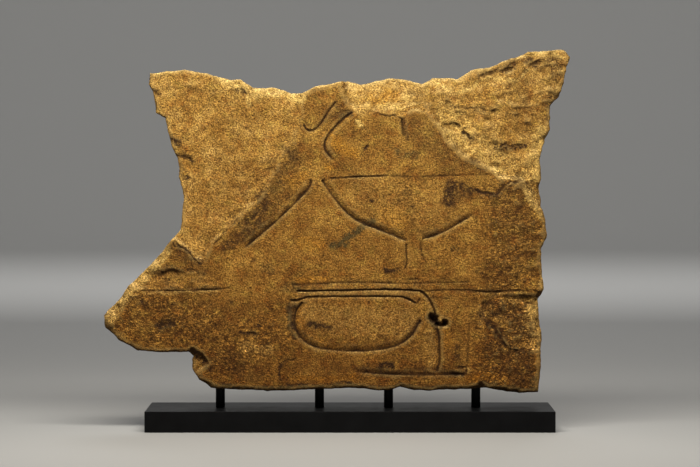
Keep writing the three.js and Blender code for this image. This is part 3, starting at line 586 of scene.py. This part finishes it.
def face_depth(points):
    """How far back the face lies, how broken and lumpy it is, and how far down in a cut each point is."""
    pit_wall, pit_lip, dark_wall, dark_lip, darkest, clear_fall = 3, 0.5, 2, 0.4, 0.85, 0.5
    x, z = points.T
    swell = 0.9 * (1 + noise(x / 60, z / 50, 1)) + 0.4 * noise(x / 21, z / 19, 2)
    fallen, broken, lumpy = break_depth(points)
    carved, in_cut = cut_depth(warped(points, 6, 0.35, 41), CARVING, CUT_DEPTH)
    ragged = warped(warped(points, 4, 0.9, 46), 8, 1.2, 48)
    for px, pz, radius in PITS:
        distance = np.hypot(*(ragged - (px, pz)).T)
        carved = np.maximum(carved, DRILL_DEPTH * np.clip((radius + pit_lip - distance) / pit_wall, 0, 1))
        in_cut = np.maximum(in_cut, darkest * np.clip((radius + dark_lip - distance) / dark_wall, 0, 1))
    cracked, in_crack = cut_depth(ragged, CRACKS, 1)
    depth = np.maximum(fallen, carved) + cracked + worn_depth(points) + np.maximum(0, swell)
    return depth, broken, lumpy, np.maximum(np.where(fallen > carved + clear_fall, 0, in_cut), in_crack)


def marked(points, marks):
    """How strongly each point bears the marks of one kind."""
    body = 1.7
    strength = np.zeros(len(points))
    ragged = warped(warped(points, 9, 2.5, 71), 3.5, 1, 73)
    for most, width, *line in marks.values():
        near, distance, *_ = near_line(ragged, smooth_line(line, MARK_STEP), width)
        share = smooth(np.clip(body * (1 - distance / width), 0, 1))
        strength[near] = np.maximum(strength[near], most * share)
    return strength


def back_depth(points):
    x, z = points.T
    rough = 2.2 * (1 + noise(x / 38, z / 33, 8)) + 0.8 * (1 + noise(x / 15, z / 16, 9))
    return THICKNESS - rough


# The slab's mesh
def hexagonal(step, rng):
    """Points all over the grid in rows of triangles, each a little out of place."""
    shift = 0.22
    rows = np.arange(0, GRID[1], step * math.sqrt(0.75))
    columns = np.arange(0, GRID[0], step)
    x, z = np.meshgrid(columns, rows)
    x = x + (np.arange(len(rows)) % 2)[:, None] * step / 2
    points = GRID_LOW + np.stack([x.ravel(), z.ravel()], 1)
    return points + rng.uniform(-shift, shift, points.shape) * step


def clear_of(points, taken, clearance):
    """The points that keep a clearance from those already taken."""
    tree = tree_of(taken)
    return points[[tree.find((x, z, 0))[2] > clearance for x, z in points]]


def face_points():
    """The front's points: the outline, then rows along each cut, then the face, finer near the cuts."""
    row_offset, row_clearance = 1.3, 0.55
    fine_reach, pit_reach, fine_clearance, wide_clearance = 2.6, 1.5, 0.62, 1.05
    rng = np.random.default_rng(7)
    edge = RING[:, :2]
    points = edge
    fine = hexagonal(CUT_STEP, rng)
    wanted = np.zeros(len(fine), bool)
    for one in [*CARVING.values(), *CRACKS.values()]:
        curve = smooth_line(one["line"], CUT_STEP)
        along = np.gradient(curve, axis=0)
        across = np.stack([-along[:, 1], along[:, 0]], 1) / np.hypot(*along.T)[:, None]
        for offset in (0, min(row_offset, one["left"] * 0.6), -min(row_offset, one["right"] * 0.6)):
            row = curve + offset * across
            row = row[inside(edge, row)]
            points = np.vstack([points, clear_of(row, points, row_clearance)])
        wanted[near_line(fine, curve, fine_reach)[0]] = True
    for px, pz, radius in PITS:
        wanted |= np.hypot(*(fine - (px, pz)).T) < radius + pit_reach
    fine = fine[wanted]
    points = np.vstack([points, clear_of(fine[inside(edge, fine)], points, fine_clearance)])
    wide = hexagonal(FACE_STEP, rng)
    return np.vstack([points, clear_of(wide[inside(edge, wide)], points, wide_clearance)])


def triangulate(points, edge_count):
    """Triangles between the points, inside the closed edge that the first of them make."""
    edges = [(i, (i + 1) % edge_count) for i in range(edge_count)]
    result = delaunay_2d_cdt([Vector(p) for p in points], edges, [], 1, 1e-6)
    source = [origin[0] for origin in result[3]]
    return np.array([[source[v] for v in face] for face in result[2]])


def side_ring(share):
    """The outline drawn in by the roughness of the break, at a share of the thickness."""
    edge = RING[:, :2]
    reach = 6
    way = np.roll(edge, -reach, axis=0) - np.roll(edge, reach, axis=0)
    inward = np.stack([way[:, 1], -way[:, 0]], 1) / np.hypot(*way.T)[:, None]
    x, z = edge.T
    rough = noise(x / 22 + 7 * share, z / 22 - 5 * share, 7) + 0.5 * noise(x / 9, z / 9 + 8 * share, 10)
    drawn = SIDE_ROUGHNESS * math.sqrt(share) * (0.6 + 0.4 * rough)
    return edge + drawn[:, None] * inward


MASKS = ("broken", "lumpy", "in_cut", *MARKS)
BARE_BREAK = [1, 0.8] + [0] * (len(MASKS) - 2)


def slab_surface():
    """The slab's points, triangles and masks, before its finer relief."""
    front = face_points()
    depth, *forms = face_depth(front)
    count = len(RING)
    places = [np.column_stack([front[:, 0], depth, front[:, 1]])]
    faces = [triangulate(front, count)]
    masks = [np.column_stack(forms + [marked(front, marks) for marks in MARKS.values()])]
    above = np.arange(count)
    total = len(front)
    for layer in range(1, SIDE_LAYERS + 1):
        share = layer / SIDE_LAYERS
        ring = side_ring(share)
        places.append(np.column_stack([ring[:, 0], mix(depth[:count], back_depth(ring), share), ring[:, 1]]))
        masks.append(np.tile(BARE_BREAK, (count, 1)))
        below = total + np.arange(count)
        total += count
        a, b, c, d = above, np.roll(above, -1), np.roll(below, -1), below
        faces += [np.column_stack([a, b, c]), np.column_stack([a, c, d])]
        above = below
    back = hexagonal(BACK_STEP, np.random.default_rng(8))
    back = clear_of(back[inside(ring, back)], ring, 0.5 * BACK_STEP)
    places.append(np.column_stack([back[:, 0], back_depth(back), back[:, 1]]))
    masks.append(np.tile(BARE_BREAK, (len(back), 1)))
    number = np.concatenate([above, total + np.arange(len(back))])
    faces.append(number[triangulate(np.vstack([ring, back]), count)][:, ::-1])
    return np.vstack(places), np.vstack(faces), np.vstack(masks)


def in_metres(places):
    x, depth, z = places.T
    return np.column_stack([
        SLAB_LOW[0] + (x - GRID_LOW[0]) * UNIT[0],
        (depth - THICKNESS / 2) * MM,
        SLAB_LOW[2] + (z - GRID_LOW[1]) * UNIT[1],
    ])


def vertex_normals(places, faces):
    a, b, c = (places[faces[:, k]] for k in range(3))
    flat = np.cross(b - a, c - a)
    normals = np.zeros_like(places)
    for k in range(3):
        np.add.at(normals, faces[:, k], flat)
    return normals / np.maximum(1e-12, np.linalg.norm(normals, axis=1))[:, None]


def averaged(values, faces, times):
    """The values with each replaced by its neighbours' mean, several times over."""
    ends = np.vstack([faces[:, [0, 1]], faces[:, [1, 2]], faces[:, [2, 0]]])
    counts = np.maximum(1, np.bincount(ends[:, 0], minlength=len(values)))
    for _ in range(times):
        values = np.stack([
            np.bincount(ends[:, 0], weights=values[ends[:, 1], k], minlength=len(values)) / counts
            for k in range(values.shape[1])
        ], 1)
    return values


def fine_relief(at, strata, broken, lumpy, rough):
    """How far the stone's own roughness stands out or in, in millimetres, at places in millimetres."""
    tooled = 0.26 * solid_noise(at, 17, 57) + 0.15 * solid_noise(at, 6, 58) + 0.1 * solid_noise(at, 3.6, 59)
    grains = 0.5 * solid_noise(at, 9, 52) + 0.34 * solid_noise(at, 5.4, 53) + 0.16 * solid_noise(at, 3.6, 54)
    slanted = at @ np.array([[0.8, 0, -0.5], [0, 1, 0], [0.9, 0, 1.3]])
    ridges = 0.45 - np.abs(solid_noise(slanted, 22, 51)) - 0.6 * np.abs(solid_noise(slanted, 9, 60))
    ridges += 0.6 * solid_noise(at, 31, 55) - 0.35 * np.abs(solid_noise(at, 5, 62))
    near, value = cells(at, 7.5, 56)
    pits = np.where(value > 0.5, np.clip(1 - near / (0.1 + 0.3 * value), 0, 1), 0)
    skin = np.maximum(0.6 * broken, 0.8 * rough)
    relief = mix(tooled, grains * (1 + rough), skin) + 1.8 * np.maximum(lumpy, 0.5 * rough) * ridges
    return relief - 0.25 * lumpy * strata - mix(0.5, 1, skin) * pits


def placed(name, data):
    """A new object in the scene."""
    made = bpy.data.objects.new(name, data)
    bpy.context.scene.collection.objects.link(made)
    return made


def add_object(name, mesh, node):
    piece = placed(name, mesh)
    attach(piece, "root")
    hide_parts(node)
    return piece


def carved_slab(material):
    smoothings = 5
    drawn, faces, masks = slab_surface()
    places = in_metres(drawn)
    values_of = dict(zip(MASKS, masks.T))
    forms = [values_of[name] for name in ("broken", "lumpy", "rough")]
    relief = fine_relief(places / MM, ledges(drawn[:, 0], drawn[:, 2]), *forms)
    places = places + vertex_normals(places, faces) * relief[:, None] * MM
    places = np.clip(places, SLAB_LOW, SLAB_HIGH)
    normals = vertex_normals(places, faces)
    # How hollow each point lies and how far it faces up: the material paints shade in hollows and on downward
    # faces, and light on ridges and upward faces, from these.
    values_of["hollow"] = ((averaged(places, faces, smoothings) - places) * normals).sum(1) / MM
    values_of["upward"] = normals[:, 2]
    mesh = bpy.data.meshes.new("slab")
    mesh.from_pydata(places.tolist(), [], faces.tolist())
    mesh.materials.append(material)
    mesh.update()
    for name, values in values_of.items():
        mesh.attributes.new(name, "FLOAT", "POINT").data.foreach_set("value", values.astype(np.float32))
    mesh.polygons.foreach_set("use_smooth", np.ones(len(mesh.polygons), bool))
    return add_object("slab", mesh, "carved_slab")


# Materials, with the colours that are laid over the stone's own
# Some of these colours paint light and shade: highlight on upward faces, edges and ridges, and shade in
# hollows, grooves, dark marks and on downward faces.
RUST, SAND, UMBER = (0.22, 0.07, 0.008), (0.38, 0.24, 0.045), (0.14, 0.06, 0.009)
ORANGE, CHIP_AND_HIGHLIGHT, DUST_AND_TOP_LIGHT = (0.5, 0.22, 0.02), (0.68, 0.44, 0.13), (0.68, 0.47, 0.18)
GROWTH, SOIL_AND_SHADOW, STREAK = (0.07, 0.05, 0.016), (0.04, 0.017, 0.006), (0.075, 0.027, 0.004)
SPECK, PAINTED_HOLLOW_SHADE, PAINTED_RIDGE_HIGHLIGHT = (0.06, 0.023, 0.004), (0.045, 0.019, 0.004), (0.58, 0.38, 0.12)
PAINTED_UNDERSIDE_SHADE, GROOVE_DIRT_AND_SHADE = (0.035, 0.015, 0.004), (0.024, 0.01, 0.003)


def new_material(name):
    material = bpy.data.materials.new(name)
    material.use_nodes = True
    nodes = material.node_tree.nodes
    return material, nodes, material.node_tree.links, nodes["Principled BSDF"]


def sandstone():
    material, nodes, links, shader = new_material("sandstone")

    def node(kind, **settings):
        made = nodes.new(kind)
        for key, value in settings.items():
            setattr(made, key, value)
        return made

    place = node("ShaderNodeTexCoord").outputs["Object"]

    def noise_at(scale, detail=4, rough=0.6, vector=place):
        made = node("ShaderNodeTexNoise")
        made.inputs["Scale"].default_value = scale
        made.inputs["Detail"].default_value = detail
        made.inputs["Roughness"].default_value = rough
        links.new(vector, made.inputs["Vector"])
        return made.outputs["Fac"]

    def ramp(value, *stops):
        made = node("ShaderNodeValToRGB")
        elements = made.color_ramp.elements
        while len(elements) < len(stops):
            elements.new(0.5)
        for element, (position, colour) in zip(elements, stops):
            element.position = position
            element.color = (*colour, 1)
        links.new(value, made.inputs["Fac"])
        return made.outputs["Color"]

    def blend(share, a, b, kind="MIX"):
        made = node("ShaderNodeMix", data_type="RGBA", blend_type=kind)
        for value, key in ((share, 0), (a, 6), (b, 7)):
            if isinstance(value, (int, float)):
                made.inputs[key].default_value = value
            elif isinstance(value, tuple):
                made.inputs[key].default_value = (*value, 1)
            else:
                links.new(value, made.inputs[key])
        return made.outputs[2]

    def remap(value, low, high, to_low=0.0, to_high=1.0):
        made = node("ShaderNodeMapRange")
        for key, number in zip(("From Min", "From Max", "To Min", "To Max"), (low, high, to_low, to_high)):
            made.inputs[key].default_value = number
        links.new(value, made.inputs["Value"])
        return made.outputs["Result"]

    def product(a, b):
        made = node("ShaderNodeMath", operation="MULTIPLY")
        links.new(a, made.inputs[0])
        links.new(b, made.inputs[1])
        return made.outputs[0]

    def times(a, b):
        return blend(1.0, a, b, "MULTIPLY")

    def layered(colour, *layers):
        for share, layer in layers:
            colour = blend(share, colour, layer)
        return colour

    def total(*values):
        result = values[0]
        for value in values[1:]:
            made = node("ShaderNodeMath", operation="ADD")
            links.new(result, made.inputs[0])
            links.new(value, made.inputs[1])
            result = made.outputs[0]
        return result

    def attribute(name):
        return node("ShaderNodeAttribute", attribute_name=name).outputs["Fac"]

    axes = node("ShaderNodeSeparateXYZ")
    links.new(place, axes.inputs["Vector"])
    height = axes.outputs["Z"]
    flattened = node("ShaderNodeVectorMath", operation="MULTIPLY")
    links.new(place, flattened.inputs[0])
    flattened.inputs[1].default_value = (0.8, 1, 1.35)
    bedded = flattened.outputs[0]
    broad = noise_at(11, 3)
    patches = noise_at(38, 5, 0.65)
    spots = noise_at(95, 3)
    medium = noise_at(170, 4, 0.7)
    grain = noise_at(620, 3, 0.6)
    specks = remap(noise_at(210, 3, 0.6), 0.42, 0.34)
    worn = total(remap(height, 0.32, 0.1, 0, 0.28), remap(attribute("rough"), 0, 1, 0, 0.7),
                 remap(attribute("lumpy"), 0.3, 1, 0, 0.15))
    dressed = ramp(patches, (0.3, (0.15, 0.066, 0.011)), (0.5, (0.285, 0.14, 0.026)),
                   (0.7, (0.41, 0.225, 0.047)))
    pale_stone = ramp(patches, (0.3, (0.28, 0.13, 0.022)), (0.5, (0.4, 0.215, 0.048)),
                 (0.7, (0.52, 0.31, 0.09)))
    colour = layered(
        blend(attribute("broken"), dressed, pale_stone),
        (remap(spots, 0.54, 0.7, 0, 0.6), RUST),
        (remap(spots, 0.46, 0.3, 0, 0.5), SAND),
        (remap(broad, 0.5, 0.72, 0, 0.4), UMBER),
        (product(attribute("ochre"), remap(medium, 0.35, 0.6, 0.3, 1)), ORANGE),
        # Paler stone and painted highlight on lit edges, rims, crests and ridges.
        (product(attribute("pale_stone"), remap(medium, 0.38, 0.56, 0.15, 1.15)), CHIP_AND_HIGHLIGHT),
        # Paler where the surface faces up: partly dust, partly painted light from above.
        (remap(attribute("upward"), 0.3, 0.8, 0, 0.8), DUST_AND_TOP_LIGHT))
    # Painted light falloff with height: darker and browner towards the bottom of the slab, a little darker at
    # its top.
    shade = ramp(height, (0.05, (0.76, 0.63, 0.5)), (0.2, (1.07, 1.0, 0.88)),
                 (0.36, (0.93, 0.92, 0.82)), (0.43, (0.88, 0.88, 0.82)))
    mottled = remap(noise_at(230, 4, 0.75), 0.37, 0.6, 0.2, 1.7)
    colour = layered(
        times(colour, shade),
        (remap(product(attribute("grey"), mottled), 0, 1, 0, 0.9), GROWTH),
        # Dark marks: dirt and painted shadow.
        (remap(product(attribute("dirt_and_shadow"), mottled), 0, 1, 0, 0.97), SOIL_AND_SHADOW))
    tint = ramp(grain, (0.34, (0.34, 0.3, 0.26)), (0.5, (0.94, 0.94, 0.94)), (0.66, (1.9, 1.95, 2.05)))
    coarse = ramp(noise_at(390, 4, 0.75, bedded), (0.36, (0.14, 0.11, 0.09)),
                  (0.5, (0.88, 0.88, 0.88)), (0.64, (2.5, 2.6, 2.7)))
    streaks = noise_at(130, 4, 0.7, bedded)
    colour = times(colour, tint)
    colour = layered(
        colour,
        (worn, times(colour, coarse)),
        (product(worn, remap(streaks, 0.5, 0.38, 0, 0.95)), STREAK),
        (product(specks, remap(worn, 0, 1, 0.25, 0.85)), SPECK),
        # Painted shade in hollows, weaker on broken faces.
        (product(remap(attribute("hollow"), 0.12, 0.6), remap(attribute("broken"), 0, 1, 0.6, 0.3)), PAINTED_HOLLOW_SHADE),
        # Painted highlight on ridges and edges that stand out.
        (remap(attribute("hollow"), -0.15, -0.6, 0, 0.25), PAINTED_RIDGE_HIGHLIGHT),
        # Painted shade on faces that turn downward.
        (remap(attribute("upward"), -0.1, -0.6, 0, 0.9), PAINTED_UNDERSIDE_SHADE),
        # Darker at the bottoms of cuts, cracks and pits: dirt there and painted shade.
        (product(attribute("in_cut"), remap(medium, 0.3, 0.6, 0.7, 1)), GROOVE_DIRT_AND_SHADE))
    links.new(colour, shader.inputs["Base Color"])
    shader.inputs["Roughness"].default_value = 0.92
    shader.inputs["Specular IOR Level"].default_value = 0.2

    bump = node("ShaderNodeBump")
    bump.inputs["Strength"].default_value = 0.8
    bump.inputs["Distance"].default_value = 0.002
    relief = total(remap(grain, 0.2, 0.8, 0, 0.8), remap(medium, 0.2, 0.8, 0, 1.0),
                   remap(specks, 0, 1, 0, -0.6))
    links.new(relief, bump.inputs["Height"])
    links.new(bump.outputs["Normal"], shader.inputs["Normal"])
    return material


def satin_black(name, roughness, speck_scale):
    material, nodes, links, shader = new_material(name)
    place = nodes.new("ShaderNodeTexCoord").outputs["Object"]
    specks = nodes.new("ShaderNodeTexNoise")
    specks.inputs["Scale"].default_value = speck_scale
    specks.inputs["Detail"].default_value = 6
    links.new(place, specks.inputs["Vector"])
    sheen = nodes.new("ShaderNodeMapRange")
    sheen.inputs["To Min"].default_value = roughness - 0.06
    sheen.inputs["To Max"].default_value = roughness + 0.1
    links.new(specks.outputs["Fac"], sheen.inputs["Value"])
    links.new(sheen.outputs["Result"], shader.inputs["Roughness"])
    shade = nodes.new("ShaderNodeValToRGB")
    shade.color_ramp.elements[0].color = (0.0035, 0.0035, 0.0037, 1)
    shade.color_ramp.elements[1].color = (0.009, 0.009, 0.0095, 1)
    links.new(specks.outputs["Fac"], shade.inputs["Fac"])
    links.new(shade.outputs["Color"], shader.inputs["Base Color"])
    shader.inputs["Specular IOR Level"].default_value = 0.08
    return material


# Base and rods
RODS = (1, 2, 3, 4)
ROD_SIDES = 48
ROD_EASE = 0.5 * MM
BASE_EASE = 0.9 * MM
SEAT_CLEARANCE = 0.3 * MM


def mesh_of(shape, name, *materials):
    """The mesh of a finished shape."""
    mesh = bpy.data.meshes.new(name)
    shape.to_mesh(mesh)
    shape.free()
    for material in materials:
        mesh.materials.append(material)
    return mesh


def ring_of(shape, radius, z, sides, centre=(0, 0)):
    """A level ring of new vertices."""
    angles = [2 * math.pi * k / sides for k in range(sides)]
    return [shape.verts.new((centre[0] + radius * math.cos(t), centre[1] + radius * math.sin(t), z))
            for t in angles]


def lacquered_base(material):
    """The base at its CAD size, with its edges eased."""
    low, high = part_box("base")
    shape = bmesh.new()
    bmesh.ops.create_cube(shape, size=1)
    for vertex in shape.verts:
        vertex.co = [(low[k] + high[k]) / 2 + vertex.co[k] * (high[k] - low[k]) for k in range(3)]
    bmesh.ops.bevel(shape, geom=shape.edges[:], offset=BASE_EASE, segments=3, profile=0.5, affect="EDGES")
    return add_object("lacquered_base", mesh_of(shape, "lacquered_base", material), "base")


def rod(number, material):
    low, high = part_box(f"rod_{number}")
    radius = (high.x - low.x) / 2
    levels = ((low.z, radius - ROD_EASE), (low.z + ROD_EASE, radius),
              (high.z - ROD_EASE, radius), (high.z, radius - ROD_EASE))
    shape = bmesh.new()
    rings = [ring_of(shape, r, z, ROD_SIDES, (low + high) / 2) for z, r in levels]
    for below, above in zip(rings, rings[1:]):
        for corners in zip(below, below[1:] + below[:1], above[1:] + above[:1], above):
            shape.faces.new(corners).smooth = True
    shape.faces.new(rings[0][::-1])
    shape.faces.new(rings[-1])
    mesh = mesh_of(shape, f"rod {number}", material)
    return add_object(f"steel_rod_{number}", mesh, f"rod_{number}")


def cut_seats(piece):
    """Cut the seats of the rods, a little wider than the rods, out of a piece."""
    shape = bmesh.new()
    for number in RODS:
        low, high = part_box(f"rod_{number}")
        radius = (high.x - low.x) / 2 + SEAT_CLEARANCE
        bmesh.ops.create_cone(
            shape, cap_ends=True, segments=ROD_SIDES, radius1=radius, radius2=radius,
            depth=high.z - low.z + 2 * SEAT_CLEARANCE, matrix=Matrix.Translation((low + high) / 2))
    seats = placed("seats", mesh_of(shape, "seats"))
    cutting = piece.modifiers.new("seats", "BOOLEAN")
    cutting.object = seats
    cutting.operation = "DIFFERENCE"
    cutting.solver = "MANIFOLD"
    whole = bpy.context.evaluated_depsgraph_get()
    finished = bpy.data.meshes.new_from_object(piece.evaluated_get(whole))
    piece.modifiers.clear()
    piece.data = finished
    bpy.data.objects.remove(seats)


# Studio
def studio_floor():
    """A round pale floor whose rim sweeps up into a wall, so that every view has a plain ground."""
    flat, sweep, height, sides, steps = 5.5, 2.0, 3.0, 96, 16
    profile = [(flat, 0.0)]
    profile += [(flat + sweep * math.sin(t), sweep * (1 - math.cos(t)))
                for t in np.linspace(0, math.pi / 2, steps)[1:]]
    profile.append((flat + sweep, sweep + height))
    shape = bmesh.new()
    centre = shape.verts.new((0, 0, 0))
    rings = [ring_of(shape, radius, z, sides) for radius, z in profile]
    for k in range(sides):
        after = (k + 1) % sides
        shape.faces.new((centre, rings[0][k], rings[0][after]))
        for below, above in zip(rings, rings[1:]):
            shape.faces.new((below[k], above[k], above[after], below[after])).smooth = True
    material, *_, shader = new_material("pale floor")
    shader.inputs["Base Color"].default_value = (0.44, 0.435, 0.42, 1)
    shader.inputs["Roughness"].default_value = 0.85
    floor = placed("floor", mesh_of(shape, "floor", material))


def area_light(name, place, target, size, power, colour=(1, 1, 1)):
    light = bpy.data.lights.new(name, "AREA")
    light.shape = "RECTANGLE"
    light.size, light.size_y = size
    light.energy = power
    light.color = colour
    lamp = placed(name, light)
    lamp.location = place
    lamp.rotation_euler = (Vector(target) - Vector(place)).to_track_quat("-Z", "Y").to_euler()
    lamp.visible_camera = False


def studio_light():
    ambient = 0.15
    slab_middle = (0, 0, 0.25)
    world = bpy.data.worlds.new("studio")
    bpy.context.scene.world = world
    world.use_nodes = True
    sky = world.node_tree.nodes["Background"].inputs
    sky["Color"].default_value = (1, 1, 1, 1)
    sky["Strength"].default_value = ambient
    area_light("key", (-0.03, -0.42, 0.82), slab_middle, (0.9, 0.18), 9.5, (1, 0.96, 0.88))
    area_light("fill", (0.6, -3.2, 1.6), slab_middle, (2.0, 1.5), 2.5)
    area_light("back", (0, 2.6, 2.6), slab_middle, (2.0, 1.2), 30)
    area_light("wall", (0, 2.4, 2.4), (0, 7.4, 1.2), (4.0, 1.0), 90)
    bpy.context.scene.view_settings.view_transform = "Standard"


def camera():
    """The photograph's view: a long lens, square on, from a little above the slab's middle."""
    downward = 1.9
    lens = bpy.data.cameras.new("camera")
    lens.sensor_width = 36
    lens.lens = 130
    viewer = placed("camera", lens)
    viewer.location = (0, -3.02, 0.333)
    viewer.rotation_euler = (math.radians(90 - downward), 0, 0)
    bpy.context.scene.camera = viewer


camera()
studio_floor()
studio_light()
cut_seats(carved_slab(sandstone()))
black_lacquer = satin_black("black lacquer", 0.34, 60)
cut_seats(lacquered_base(black_lacquer))
black_steel = satin_black("black steel", 0.42, 300)
for number in RODS:
    rod(number, black_steel)
